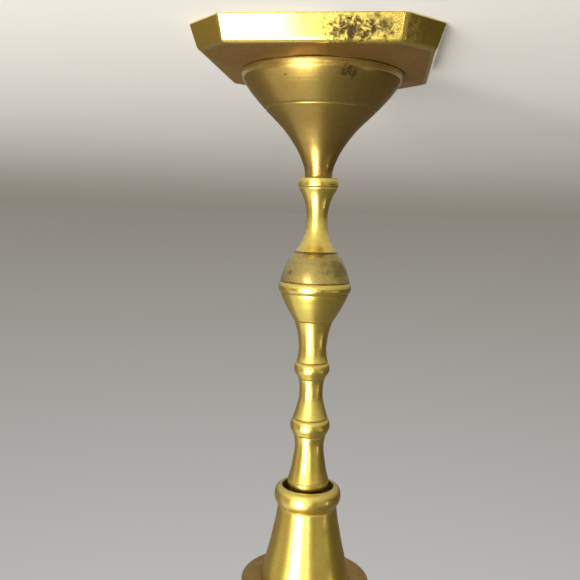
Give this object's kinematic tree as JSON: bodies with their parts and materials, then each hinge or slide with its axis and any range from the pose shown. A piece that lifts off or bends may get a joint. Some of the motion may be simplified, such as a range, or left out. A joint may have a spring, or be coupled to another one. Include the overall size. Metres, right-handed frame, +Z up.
{
  "type": "candlestick",
  "caption": "Tall brass candlestick with a canted-corner foot, trumpet riser, turned baluster stem and a candle cup under a flat drip pan.",
  "frame": {"origin": "middle of the foot on the surface it stands on", "axes": "+Z up the stem towards the candle; X and Y square to the foot's long sides"},
  "size_m": [0.1, 0.1, 0.2426],
  "materials": {
    "cast_brass": "cast, planed and polished, with age tarnish in blotches",
    "spun_brass": "polished, with fine level turning lines and small pits",
    "turned_brass": "polished, with fine level turning lines and darker joints",
    "pan_brass": "polished, slightly smudged",
    "fixing_steel": "plain, dull with age"
  },
  "bodies": {
    "stick": {"foot": "cast_brass", "riser": "spun_brass", "collar": "turned_brass", "spool": "turned_brass", "dome": "turned_brass", "knop_ring": "turned_brass", "taper": "turned_brass", "bead_spindle": "turned_brass", "knob_spindle": "turned_brass", "upper_spindle": "turned_brass", "cup": "turned_brass", "tie_rod": "fixing_steel", "cup_nut": "fixing_steel", "foot_washer": "fixing_steel", "foot_nut": "fixing_steel"},
    "pan": {"drip_pan": "pan_brass", "socket_sleeve": "pan_brass"}
  },
  "joints": [
    {"name": "pan_lift", "type": "slide", "parent": "stick", "child": "pan", "axis": [0, 0, 1], "range_m": [0, 0.03]}
  ]
}
